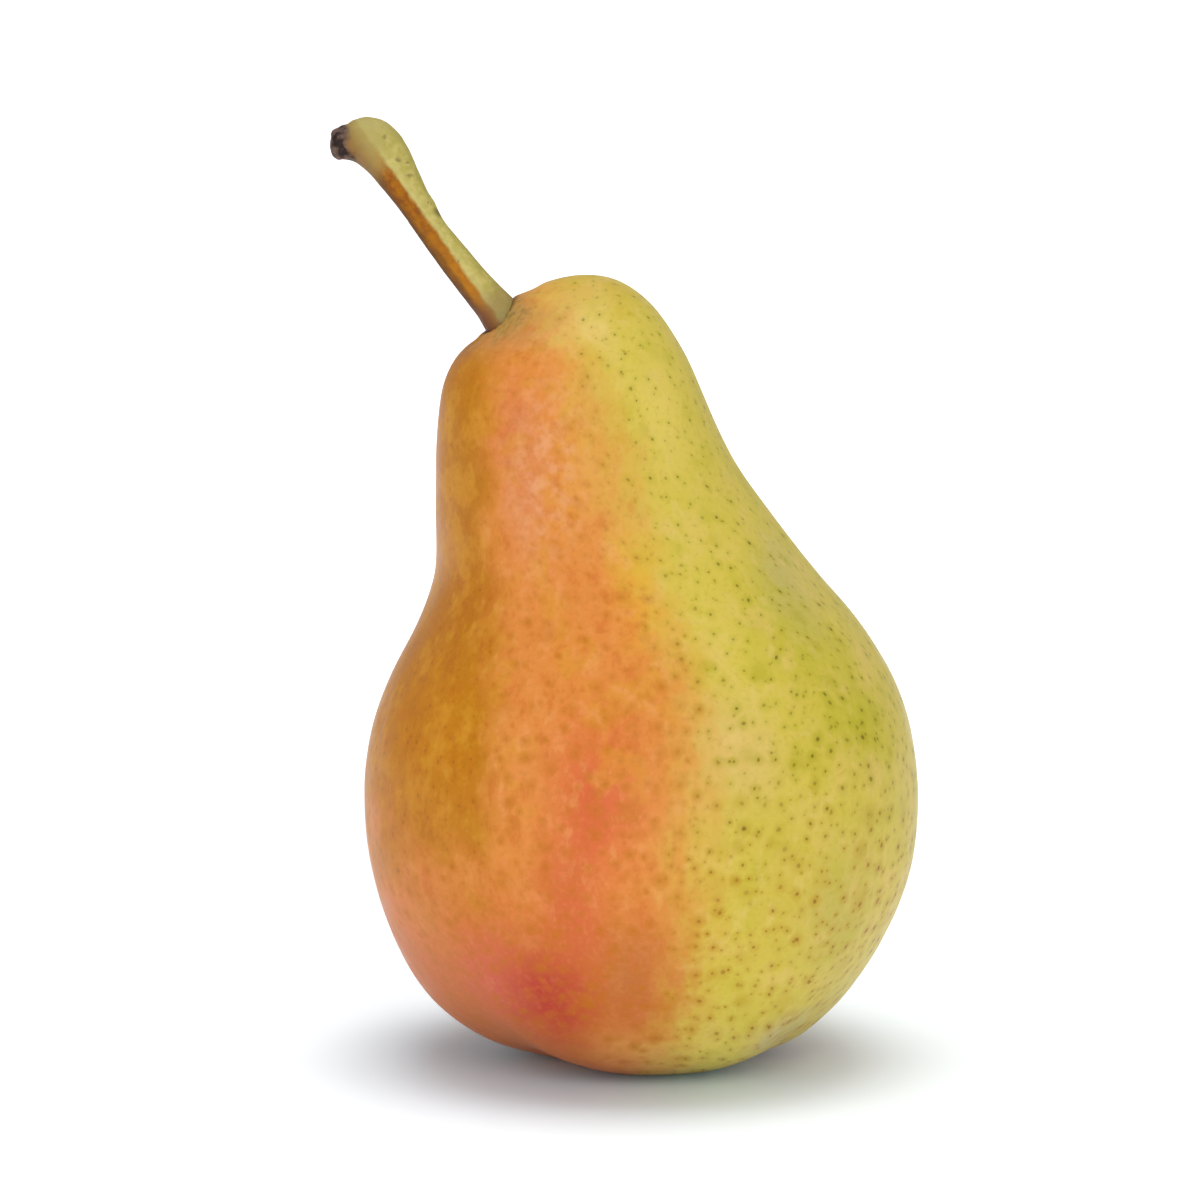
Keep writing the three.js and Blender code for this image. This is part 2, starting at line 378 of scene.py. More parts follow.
FOOT_SPREAD = 0.45 * MM
FOOT_BAND = (0.5 * MM, 3.2 * MM)  # along the foot

SCAR_SWELLING = 0.4  # mm, before the roughness
SCAR_FADE = (2.4 * MM, 4.4 * MM)  # from the tip
GROOVE_DEPTH = 0.2 * MM
GROOVE_BAND = (3.6 * MM, 0.5 * MM)  # from the tip

# The step between the knob's lower side and the scar is filled a little and then rounded.
STEP_FILL_PLACE = STEM_TIP + np.array([2.8, 0.5, -1.8]) * MM
STEP_FILL_HEIGHT = 0.3 * MM
STEP_FILL_BAND = (0, 0.9 * MM)  # from that place
STEP_PLACE = STEM_TIP + np.array([3.3, 0.3, -2.2]) * MM
STEP_REACH = 2.6 * MM
STEP_WIDTH = 0.8 * MM


def make_stem():
    piece = refined("stem", "pear_stem", STEM_LEVELS)
    mesh = piece.data
    points, normals = points_of(mesh), normals_of(mesh)
    along, _, turn, _ = round_stem(points)
    from_tip = distance(points, STEM_TIP)

    # long fine ridges and a fine grain
    height = RIDGE_HEIGHT * np.cos(RIDGES * turn + 2 * noise_at(points, 9, 1.3))
    height += GRAIN_HEIGHT * noise_at(points, 1.6, 5.5)

    # the foot spreads into the flesh
    height += FOOT_SPREAD * bell(along, *FOOT_BAND)

    # the scar at the tip is swollen and rough, and a groove parts it from the knob
    rough = 0.3 * noise_at(points, 1.7, 7.7) + 0.12 * noise_at(points, 0.7, 2.2)
    height += MM * (SCAR_SWELLING + rough) * (1 - smooth_step(*SCAR_FADE, from_tip))
    height -= GROOVE_DEPTH * bell(from_tip, *GROOVE_BAND)
    height += STEP_FILL_HEIGHT * bell(distance(points, STEP_FILL_PLACE), *STEP_FILL_BAND)
    set_points(mesh, points + normals * height[:, None])
    for _ in range(2):
        even_out(mesh, STEP_PLACE, STEP_REACH, STEP_WIDTH)
    return piece


# The calyx, which hangs from its top

CALYX_TOP = calyx_high.z
RING_OUTLINE = [(0, 2.2), (0.25, 2.35), (0.7, 2.3), (1.1, 2.15), (1.25, 1.7)]  # drop, radius in mm
RING_SIDES = 40
TUBE_SIDE_HINT = Vector((0.31, 0.87, 0.38))  # no tube runs along this way

SEPALS = 5
SEPAL_ROWS = 14
SEPAL_COLUMNS = 9
SEPAL_LENGTH = 4.4 * MM
SEPAL_HALF_WIDTH = 1.25 * MM
SEPAL_HALF_TIP = 0.05 * MM
SEPAL_THICKNESS = 0.22 * MM
SEPAL_FROM_MIDDLE = 1.9 * MM
SEPAL_TOP = CALYX_TOP - 0.9 * MM
SEPAL_CURL = 1.5  # radians from its root to its tip
SEPAL_CRUMPLE = 0.08 * MM
CRUMPLE_SIZE = 1.1 * MM

STAMENS = 14
STAMEN_SIDES = 7
STAMEN_RADII = [0.11, 0.11, 0.11, 0.11, 0.11, 0.2, 0.1]  # from its root to its small head, in mm
STAMEN_LENGTH = 2.1 * MM
STAMEN_BOW = 0.5 * MM
STAMEN_TOP = CALYX_TOP - 1.1 * MM


def tube(work, line, radii, sides):
    """A closed round tube along a line of points."""
    rings = []
    for i, (point, radius) in enumerate(zip(line, radii)):
        ahead = line[min(i + 1, len(line) - 1)] - line[max(i - 1, 0)]
        ahead.normalize()
        side = ahead.cross(TUBE_SIDE_HINT).normalized()
        other = ahead.cross(side)
        ring = []
        for k in range(sides):
            angle = 2 * math.pi * k / sides
            out = radius * (math.cos(angle) * side + math.sin(angle) * other)
            ring.append(work.verts.new(point + out))
        rings.append(ring)
    for low, high in zip(rings, rings[1:]):
        for k in range(sides):
            work.faces.new((low[k], low[(k + 1) % sides], high[(k + 1) % sides], high[k]))
    work.faces.new(list(reversed(rings[0])))
    work.faces.new(rings[-1])


def sepal(work, turn, seed):
    """One dried sepal: a thin blade that hangs from the ring and curls outwards at its tip."""
    curl = SEPAL_CURL + 0.25 * math.sin(3.7 * seed)
    faces = ([], [])  # rows of vertices on the blade's two faces
    for row in range(SEPAL_ROWS):
        share = row / (SEPAL_ROWS - 1)
        bend = curl * share
        out = SEPAL_FROM_MIDDLE + SEPAL_LENGTH / curl * (1 - math.cos(bend))
        down = SEPAL_LENGTH / curl * math.sin(bend)
        ragged = 1 + 0.12 * math.sin(9 * share + seed)
        half = SEPAL_HALF_WIDTH * (1 - share ** 2.2) ** 0.8 * ragged + SEPAL_HALF_TIP
        for face, thickness in zip(faces, (0, SEPAL_THICKNESS)):
            line = []
            for column in range(SEPAL_COLUMNS):
                across = 2 * column / (SEPAL_COLUMNS - 1) - 1
                fold = 0.35 * MM * across ** 2 * (1 - 0.6 * share) - 0.06 * MM * math.cos(7 * across)
                depth = fold + thickness
                local = Vector((
                    out + depth * math.cos(bend),
                    half * across,
                    SEPAL_TOP - down + depth * math.sin(bend),
                ))
                local += SEPAL_CRUMPLE * noise_vector_at(local / CRUMPLE_SIZE + Vector((seed, 0, 0)))
                line.append(work.verts.new((
                    EYE.x + local.x * math.cos(turn) - local.y * math.sin(turn),
                    EYE.y + local.x * math.sin(turn) + local.y * math.cos(turn),
                    local.z,
                )))
            face.append(line)
    near, far = faces
    last_row, last_column = SEPAL_ROWS - 1, SEPAL_COLUMNS - 1
    for row in range(last_row):
        for column in range(last_column):
            for face in faces:
                work.faces.new((
                    face[row][column], face[row][column + 1],
                    face[row + 1][column + 1], face[row + 1][column],
                ))
        for column in (0, last_column):
            work.faces.new((
                near[row][column], near[row + 1][column], far[row + 1][column], far[row][column],
            ))
    for row in (0, last_row):
        for column in range(last_column):
            work.faces.new((
                near[row][column], near[row][column + 1], far[row][column + 1], far[row][column],
            ))


def stamen(work, number):
    """One withered stamen, which hangs down, bows aside and ends in a small head."""
    turn = 2 * math.pi * (number + 0.3 * math.sin(5.1 * number)) / STAMENS
    lean = 0.35 + 0.3 * math.sin(2.3 * number)
    start = Vector((math.cos(turn), math.sin(turn), 0)) * (0.8 + 0.5 * (number % 2)) * MM
    bow_way = Vector((math.cos(turn + lean), math.sin(turn + lean), 0))
    line = []
    for step in range(len(STAMEN_RADII)):
        share = step / (len(STAMEN_RADII) - 1)
        place = Vector((EYE.x, EYE.y, STAMEN_TOP - STAMEN_LENGTH * share))
        line.append(place + start + bow_way * STAMEN_BOW * share ** 2)
    tube(work, line, [radius * MM for radius in STAMEN_RADII], STAMEN_SIDES)


def make_calyx():
    work = bmesh.new()
    ring_line = [Vector((EYE.x, EYE.y, CALYX_TOP - drop * MM)) for drop, _ in RING_OUTLINE]
    tube(work, ring_line, [radius * MM for _, radius in RING_OUTLINE], RING_SIDES)
    for i in range(SEPALS):
        sepal(work, 2 * math.pi * (i + 0.5) / SEPALS, 1.7 * i)
    for i in range(STAMENS):
        stamen(work, i)
    bmesh.ops.recalc_face_normals(work, faces=work.faces)
    mesh = bpy.data.meshes.new("pear_calyx")
    work.to_mesh(mesh)
    work.free()
    shade_smooth(mesh)
    return add_object("pear_calyx", mesh)


# Materials

class Nodes:
    """Short names for building the nodes of one material."""

    def __init__(self, name):
        self.material = bpy.data.materials.new(name)
        self.material.use_nodes = True
        self.tree = self.material.node_tree
        self.tree.nodes.clear()

    def put(self, socket, value):
        if isinstance(value, bpy.types.NodeSocket):
            self.tree.links.new(value, socket)
        else:
            socket.default_value = value

    def add(self, kind, inputs=None, **settings):
        node = self.tree.nodes.new("ShaderNode" + kind)
        for key, value in settings.items():
            setattr(node, key, value)
        for key, value in (inputs or {}).items():
            self.put(node.inputs[key], value)
        return node

    def math(self, operation, a, b=0.0, c=0.0):
        node = self.add("Math", operation=operation)
        for socket, value in zip(node.inputs, (a, b, c)):
            self.put(socket, value)
        return node.outputs[0]

    def vector(self, operation, a, b=(0, 0, 0), scale=1.0):
        node = self.add("VectorMath", operation=operation)
        for socket, value in zip(node.inputs, (a, b, (0, 0, 0), scale)):
            self.put(socket, value)
        return node.outputs["Value" if operation in ("LENGTH", "DOT_PRODUCT") else "Vector"]

    def parts(self, place):
        """The x, y and z of a place."""
        return self.add("SeparateXYZ", {"Vector": place}).outputs

    def place_in_mm(self):
        return self.vector("SCALE", self.add("TexCoord").outputs["Object"], scale=1 / MM)

    def mix(self, share, a, b, blend="MIX"):
        node = self.add("Mix", data_type="RGBA", blend_type=blend)
        self.put(node.inputs[0], share)
        self.put(node.inputs[6], a)
        self.put(node.inputs[7], b)
        return node.outputs[2]

    def step(self, value, low, high, start=0.0, end=1.0):
        """A smooth step from start at low to end at high."""
        node = self.add("MapRange", interpolation_type="SMOOTHSTEP")
        for socket, number in zip(node.inputs, (value, low, high, start, end)):
            self.put(socket, number)
        return node.outputs[0]

    def noise(self, place, scale, detail=2.0, rough=0.5, output="Fac"):
        inputs = {"Vector": place, "Scale": scale, "Detail": detail, "Roughness": rough}
        return self.add("TexNoise", inputs).outputs[output]

    def warp(self, place, scale, size, detail=1.0):
        """The place moved about by soft noise, up to half the size each way."""
        colour = self.noise(place, scale, detail, output="Color")
        shift = self.vector("SUBTRACT", colour, (0.5, 0.5, 0.5))
        return self.vector("ADD", place, self.vector("SCALE", shift, scale=size))

    def bump(self, height, strength, distance):
        node = self.add("Bump", {"Height": height, "Strength": strength, "Distance": distance})
        return node.outputs[0]

    def finish(self, inputs):
        surface = self.add("BsdfPrincipled", inputs)
        out = self.add("OutputMaterial")
        self.tree.links.new(surface.outputs[0], out.inputs["Surface"])
        return self.material


# The skin's colours. The tan flank lies left of the salmon blush, and the ground colour right of it.
GROUND = tone(208, 189, 76)
BLUSH = tone(219, 136, 62)
FLANK = tone(190, 120, 12)
LOW_BLUSH = tone(200, 106, 48)

# The tones of the mottling, first on the ground colour, then on the blush and its flank, then on all.
GROUND_CLOUD = tone(222, 190, 108)
GREEN_CLOUD = tone(188, 176, 44)
GROUND_FLECK = tone(226, 198, 120)
GOLDEN_CLOUD = tone(212, 148, 42)
BLUSH_FLECK = tone(230, 156, 92)
FLANK_FLECK = tone(208, 152, 34)
DULL_BLUSH = tone(202, 104, 40)
DULL_FLANK = tone(170, 98, 12)
# pale pink mottles on the neck: partly the skin's colour and partly a painted highlight
NECK_PINK_HIGHLIGHT = tone(226, 160, 112)
PALE_GRAIN = tone(236, 190, 110)
DARK_GRAIN = tone(150, 96, 24)

# The dull brown skin in the eye and at the upper lip of the stem's socket, and the painted shade close to
# the stem.
EYE_BROWN = tone(128, 104, 52)
LIP_BROWN = tone(164, 136, 72)
LIP_WRINKLE = tone(104, 84, 40)
JUNCTION_SHADE = tone(96, 70, 34)

# Where the blush ends on the front, in mm: a plane at this x, which leans from that height up.
BLUSH_END_X = 1.4
LEAN_START_Z = 54.0
LEAN = 0.27

# Soft patches of colour: the name, the middle and the reach in mm, the colour and its strength.
BLUSH_PATCHES = [
    ("pink flank", (-16, -24, 14), (8, 12, 13), tone(206, 96, 80), 0.75),
    ("salmon flank", (-26, -18, 24), (9, 14, 12), tone(212, 130, 68), 0.6),
    ("ochre foot", (0, -31, 18), (8, 12, 13), tone(186, 112, 56), 0.7),
    ("soft base", (2, -23, 5), (13, 14, 8), tone(226, 160, 80), 0.8),
    ("red cheek", (-4.5, -35, 40), (10, 14, 18), tone(212, 92, 56), 0.85),
    ("red valley", (-7, -33, 26), (7, 12, 15), tone(204, 92, 56), 0.7),
    ("deep red foot", (-10, -27, 12.5), (8, 13, 15), tone(182, 56, 46), 0.95),
    ("ochre cheek", (-25, -18, 49), (8, 13, 17), tone(194, 122, 8), 0.75),
    ("ochre shoulder", (-20, -16, 61), (7, 12, 10), tone(182, 106, 8), 0.7),
    # pink skin on the neck, with a painted broad highlight on it
    ("pink neck and highlight", (-12.5, -19, 77), (5, 10, 16), tone(214, 132, 82), 0.8),
    ("red collar", (-14.5, -16, 84), (3.5, 9, 11), tone(206, 112, 62), 0.7),
    ("ochre neck", (-20, -13, 78), (5, 9, 15), tone(176, 112, 16), 0.6),
    # a painted highlight: the paler, greyer rim of the lip under the stem
    ("pale lip highlight", (-13, -9, 96), (10, 8, 7), tone(192, 138, 76), 0.85),
    ("apricot neck", (-6, -19, 80), (6, 12, 18), tone(220, 156, 68), 0.75),
    ("golden waist", (2.5, -24, 66), (6.5, 12, 14), tone(222, 164, 30), 0.8),
    ("orange seam", (2.5, -31, 52), (6, 12, 12), tone(214, 134, 44), 0.6),
]
GROUND_PATCHES = [
    ("lemon neck", (3.5, -14, 86), (9, 10, 15), tone(226, 202, 98), 0.7),
    # the top is golden, and this patch is also a painted shade that darkens the faces under the top light
    ("golden top with painted shade", (-4, -8, 101), (10, 12, 8), tone(200, 162, 44), 0.7),
    ("lemon belly", (16, -28, 26), (14, 14, 17), tone(200, 176, 64), 0.7),
    ("olive foot", (27, -22, 24), (10, 14, 15), tone(188, 172, 82), 0.7),
    # a painted highlight: the pale reflection of a softbox window on the bulb
    ("pale window highlight", (12.6, -32, 46), (10, 13, 12.5), tone(214, 186, 104), 0.9),
    ("green shoulder", (20, -18, 58), (10, 14, 13), tone(186, 176, 42), 0.75),
    ("green cheek", (28, -19, 48), (9, 12, 13), tone(184, 176, 38), 0.7),
    # a painted sheen: the greyish reflection along the right shoulder
    ("grey sheen on the shoulder", (20, -12, 64), (7, 12, 15), tone(184, 172, 112), 0.55),
    ("bright base", (12, -22, 5), (12, 12, 8), tone(230, 210, 98), 0.8),
    # painted shade: the greyish shading in a valley between the lobes of the base
    ("grey shade in the valley", (20, -16, 7), (8, 9, 6), tone(204, 188, 142), 0.75),
    ("green back", (16, 28, 58), (20, 24, 40), tone(184, 178, 62), 0.7),
    ("golden back", (-2, 32, 30), (10, 14, 30), tone(212, 172, 66), 0.7),
    ("pale back", (14, 30, 26), (12, 14, 14), tone(218, 196, 104), 0.6),
]

# Patches that a pattern or a finish goes by: the middle and the reach in mm.
# where the neck's pale pink mottles lie, which are partly a painted highlight
HIGHLIGHTED_NECK = ((-10, -19, 79), (8, 14, 19))
SOCKET_LIP = ((-15.5, -5.5, 98.0), (6, 6.5, 5.5))
EYE_PATCH = (tuple(v / MM for v in EYE), (9, 9, 9))

# Lenticels, in mm: the distance between them, the radius of the core and of the halo. Then how
# strongly the core and the halo show, and the share of the places that has none.
LENTICELS = [
    (2.7, 0.33, 1.25, 0.9, 0.7, 0.08),
    (1.9, 0.21, 0.85, 0.75, 0.5, 0.45),
    (5.5, 0.05, 1.9, 0.0, 0.6, 0.5),
]

# The lenticels' tones: high up and low down on the ground colour, on the blush and on its flank.
HALO_HIGH = tone(166, 158, 20)
HALO_LOW = tone(182, 142, 28)
HALO_ON_BLUSH = tone(188, 110, 8)
CORE_HIGH = tone(116, 94, 22)
CORE_LOW = tone(142, 92, 20)
CORE_ON_BLUSH = tone(172, 94, 20)
CORE_ON_FLANK = tone(128, 88, 24)


def patch_share(n, place, middle, reach):
    """1 in the middle of a soft patch and 0 outside its reach."""
    away = n.vector("DIVIDE", n.vector("SUBTRACT", place, middle), reach)
    return n.step(n.vector("LENGTH", away), 1.0, 0.0)


def with_patches(n, colour, place, patches):
    for _, middle, reach, patch_colour, strength in patches:
        share = n.math("MULTIPLY", patch_share(n, place, middle, reach), strength)
        colour = n.mix(share, colour, patch_colour)
    return colour


def with_lenticels(n, colour, blush_share, flank_share, height):
    """The colour with dotted lenticels on it, and where their cores are."""
    # a map shows its lenticels as far out as half the difference of the two maps' x
    flat_maps = [n.add("UVMap", uv_map=name).outputs[0] for name, _ in SKIN_MAPS]
    between = n.math("ABSOLUTE", n.parts(n.vector("SUBTRACT", *flat_maps))[0])
    shown_to = n.math("MULTIPLY", between, 0.5 / MM)

    lower = n.step(height, 50.0, 25.0)
    halo_colour = n.mix(blush_share, n.mix(lower, HALO_HIGH, HALO_LOW), HALO_ON_BLUSH)
    blush_core = n.mix(flank_share, CORE_ON_BLUSH, CORE_ON_FLANK)
    core_colour = n.mix(blush_share, n.mix(lower, CORE_HIGH, CORE_LOW), blush_core)

    # cores are fainter on the blush, though less so on its flank, and halos are fainter on the neck
    core_shown = n.math("MULTIPLY_ADD", blush_share, -0.8, 1.0)
    core_shown = n.math("MULTIPLY_ADD", n.math("MULTIPLY", flank_share, blush_share), 0.35, core_shown)
    halo_shown = n.step(height, 78.0, 45.0, 0.5, 0.85)
    growth = n.step(height, 78.0, 30.0, 0.9, 1.25)

    cores = 0.0
    for flat, layer in [(flat, layer) for layer in LENTICELS for flat in flat_maps]:
        spacing, core, halo, core_strength, halo_strength, missing = layer
        flat = n.warp(n.vector("SCALE", flat, scale=1 / MM), 1.3, 0.3)
        inputs = {"Vector": flat, "Scale": 1 / spacing, "Randomness": 0.9}
        cells = n.add("TexVoronoi", inputs, voronoi_dimensions="2D")
        draw = n.add("SeparateColor", {"Color": cells.outputs["Color"]}).outputs
        size = n.math("MULTIPLY", growth, n.math("MULTIPLY_ADD", draw[0], 0.65, 0.55))
        near = n.math("DIVIDE", n.math("MULTIPLY", cells.outputs["Distance"], spacing), size)
        centre = n.math("ABSOLUTE", n.parts(cells.outputs["Position"])[0])
        in_turn = n.math("LESS_THAN", centre, shown_to)
        there = n.math("MULTIPLY", in_turn, n.math("GREATER_THAN", draw[1], missing))
        strength = n.math("MULTIPLY_ADD", n.math("POWER", draw[2], 1.4), 0.7, 0.3)
        strength = n.math("MULTIPLY", there, strength)
        halo_share = n.math("MULTIPLY", n.step(near, halo, 0.1 * halo, 0.0, halo_strength), strength)
        colour = n.mix(n.math("MULTIPLY", halo_share, halo_shown), colour, halo_colour)
        core_share = n.math("MULTIPLY", n.step(near, core, 0.3 * core, 0.0, core_strength), strength)
        colour = n.mix(n.math("MULTIPLY", core_share, core_shown), colour, core_colour)
        cores = n.math("MAXIMUM", cores, core_share)
    return colour, cores


def sunny_share(n, place, x, y, z):
    """1 on the side that the sun reached, whose streaky end leans with the neck, and 0 on the other."""
    lean = n.math("MULTIPLY", n.math("MAXIMUM", n.math("SUBTRACT", z, LEAN_START_Z), 0.0), LEAN)
    side = n.math("MULTIPLY", n.math("ADD", n.math("SUBTRACT", x, BLUSH_END_X), lean), 0.98)
    side = n.math("MULTIPLY_ADD", y, 0.19, side)
    streaks = n.noise(n.vector("MULTIPLY", place, (1.0, 1.0, 0.25)), 0.5, 4.0, 0.6)
    side = n.math("MULTIPLY_ADD", n.math("SUBTRACT", streaks, 0.5), 7.0, side)
    return n.step(side, 6.5, -6.0)


def tan_flank_share(n, cloud, x, y, z):
    """1 on the tan flank, left of the blush, which ends in clouds above the foot."""
    flank_end = n.math("MULTIPLY_ADD", y, -0.35, z)
    flank_end = n.math("MULTIPLY_ADD", n.math("SUBTRACT", cloud, 0.5), 40.0, flank_end)
    return n.math("MULTIPLY", n.step(x, -15.0, -20.0), n.step(flank_end, 24.0, 46.0))


def ground_colour(n, warped, cloud, blotch):
    ground = with_patches(n, GROUND, warped, GROUND_PATCHES)
    ground = n.mix(n.step(cloud, 0.5, 0.72, 0.0, 0.5), ground, GROUND_CLOUD)
    ground = n.mix(n.step(cloud, 0.48, 0.28, 0.0, 0.45), ground, GREEN_CLOUD)
    return n.mix(n.step(blotch, 0.52, 0.75, 0.0, 0.35), ground, GROUND_FLECK)


def blush_colour(n, place, warped, cloud, blotch, flank_share, z):
    blush = n.mix(n.step(z, 34.0, 14.0), BLUSH, LOW_BLUSH)
    blush = n.mix(flank_share, blush, FLANK)
    blush = with_patches(n, blush, warped, BLUSH_PATCHES)
    golden = n.math("MULTIPLY", n.step(cloud, 0.5, 0.62, 0.0, 0.45), n.step(z, 26.0, 44.0))
    blush = n.mix(golden, blush, GOLDEN_CLOUD)
    flecks = n.step(blotch, 0.51, 0.68, 0.0, 0.42)
    flecks = n.math("MULTIPLY", flecks, n.step(z, 16.0, 38.0, 0.3, 1.0))
    blush = n.mix(flecks, blush, n.mix(flank_share, BLUSH_FLECK, FLANK_FLECK))
    # pale pink mottles on the neck, partly the skin's colour and partly a painted highlight
    mottles = n.step(n.noise(place, 0.55, 4.0, 0.6), 0.4, 0.65, 0.0, 0.75)
    pink_highlight_share = n.math("MULTIPLY", patch_share(n, warped, *HIGHLIGHTED_NECK), mottles)
    blush = n.mix(pink_highlight_share, blush, NECK_PINK_HIGHLIGHT)
    dull = n.mix(flank_share, DULL_BLUSH, DULL_FLANK)
    return n.mix(n.step(blotch, 0.48, 0.32, 0.0, 0.45), blush, dull)


def with_brown_skin_and_stem_shade(n, colour, place, nearby):
    """The colour with dull brown skin in the eye and at the socket's lip, and painted shade close to the
    stem.
    """
    eye_share = patch_share(n, nearby, *EYE_PATCH)
    colour = n.mix(n.math("MULTIPLY", eye_share, 0.7), colour, EYE_BROWN)
    lip_share = patch_share(n, nearby, *SOCKET_LIP)
    colour = n.mix(n.math("MULTIPLY", lip_share, 0.95), colour, LIP_BROWN)
    wrinkles = n.noise(n.vector("MULTIPLY", place, (1.6, 1.6, 0.4)), 0.9, 2.0, 0.5)
    wrinkles = n.math("MULTIPLY", n.step(wrinkles, 0.5, 0.62, 0.0, 0.5), lip_share)
    colour = n.mix(wrinkles, colour, LIP_WRINKLE)
    # a painted shade along the line where the flesh meets the stem
    away = n.vector("SUBTRACT", place, tuple(STEM_FOOT / MM))
    along = n.vector("DOT_PRODUCT", away, tuple(FOOT_ALONG))
    across = n.vector("SUBTRACT", away, n.vector("SCALE", tuple(FOOT_ALONG), scale=along))
    beyond = n.math("SUBTRACT", n.vector("LENGTH", across), FOOT_RADIUS / MM)
    junction_shade = n.math("MULTIPLY", n.step(beyond, 1.5, 0.4, 0.0, 0.75), n.step(along, -5.0, -3.0))
    return n.mix(junction_shade, colour, JUNCTION_SHADE)


def skin_material():
    n = Nodes("pear_skin")
    place = n.place_in_mm()
    nearby = n.warp(place, 0.25, 4.0, 2.0)
    warped = n.warp(nearby, 0.05, 6.0)
    x, y, z = n.parts(warped)

    # soft clouds, blotches and a fine grain mottle the skin
    cloud = n.noise(place, 0.16, 3.0, 0.55)
    blotch = n.noise(n.vector("MULTIPLY", place, (1.0, 1.0, 0.7)), 0.42, 4.0, 0.6)
    grain = n.noise(place, 1.5, 3.0, 0.6)

    blush_share = sunny_share(n, place, x, y, z)
    flank_share = tan_flank_share(n, cloud, x, y, z)
    ground = ground_colour(n, warped, cloud, blotch)
    blush = blush_colour(n, place, warped, cloud, blotch, flank_share, z)
    colour = n.mix(blush_share, ground, blush)
    colour = n.mix(n.step(grain, 0.5, 0.75, 0.0, 0.08), colour, PALE_GRAIN)
    colour = n.mix(n.step(grain, 0.5, 0.25, 0.0, 0.16), colour, DARK_GRAIN)
    colour, cores = with_lenticels(n, colour, blush_share, flank_share, z)
    colour = with_brown_skin_and_stem_shade(n, colour, place, nearby)

    relief = n.math("MULTIPLY_ADD", grain, 0.35, n.math("MULTIPLY", blotch, 0.5))
    relief = n.math("MULTIPLY_ADD", cores, -0.3, relief)
    return n.finish({
        "Base Color": colour,
        "Roughness": n.step(blotch, 0.3, 0.7, 0.32, 0.42),
        "Specular IOR Level": 0.17,
        "Normal": n.bump(relief, 0.3, 0.12 * MM),
        "Subsurface Weight": 0.08,
        "Subsurface Radius": (1.0, 0.4, 0.1),
        "Subsurface Scale": 1.5 * MM,
    })


# The plane between the stem's green upper side and its brown lower side: a place on it in mm, and
# the way up from it.
DIVIDE_FOOT = (-18.7, 0, 100.3)
DIVIDE_UP = (0.814, 0, 0.582)

# The stem's tones. Where there are two, a pattern or the divide goes from the first to the second.
STEM_GREENS = (tone(176, 164, 80), tone(198, 184, 108))
STEM_BROWNS = (tone(134, 72, 0), tone(166, 104, 4))
UPPERMOST_GREEN = tone(150, 142, 66)
# a painted highlight on the green side, along the divide
DIVIDE_HIGHLIGHT = tone(208, 196, 130)
FOOTWARD_BROWN = tone(190, 126, 24)
SHADED_BROWN = tone(96, 58, 12)
STEM_FOOT_TONES = (tone(120, 76, 48), tone(150, 128, 76))
KNOB_TONES = (tone(136, 104, 58), tone(172, 158, 90))
SCAR_TONES = (tone(40, 28, 24), tone(112, 88, 76))
MARK_TONE = tone(66, 46, 28)
SPECK_TONE = tone(104, 76, 36)
SPECKS_APART = 2.1  # mm

# Small dark marks on the stem: the name, the middle and the reach in mm, and the strength.
STEM_MARKS = [
    ("bud scar", (-23.9, -1.6, 110.9), (1.5, 3, 0.9), 0.85),
    ("upper fleck", (-29.3, -3.4, 117.7), (0.7, 1, 0.5), 0.6),
    ("lower fleck", (-27.5, -3.3, 115.6), (1.3, 1, 0.4), 0.7),
    ("knob fleck", (-31.0, -3.6, 120.6), (0.5, 1, 0.5), 0.45),
]


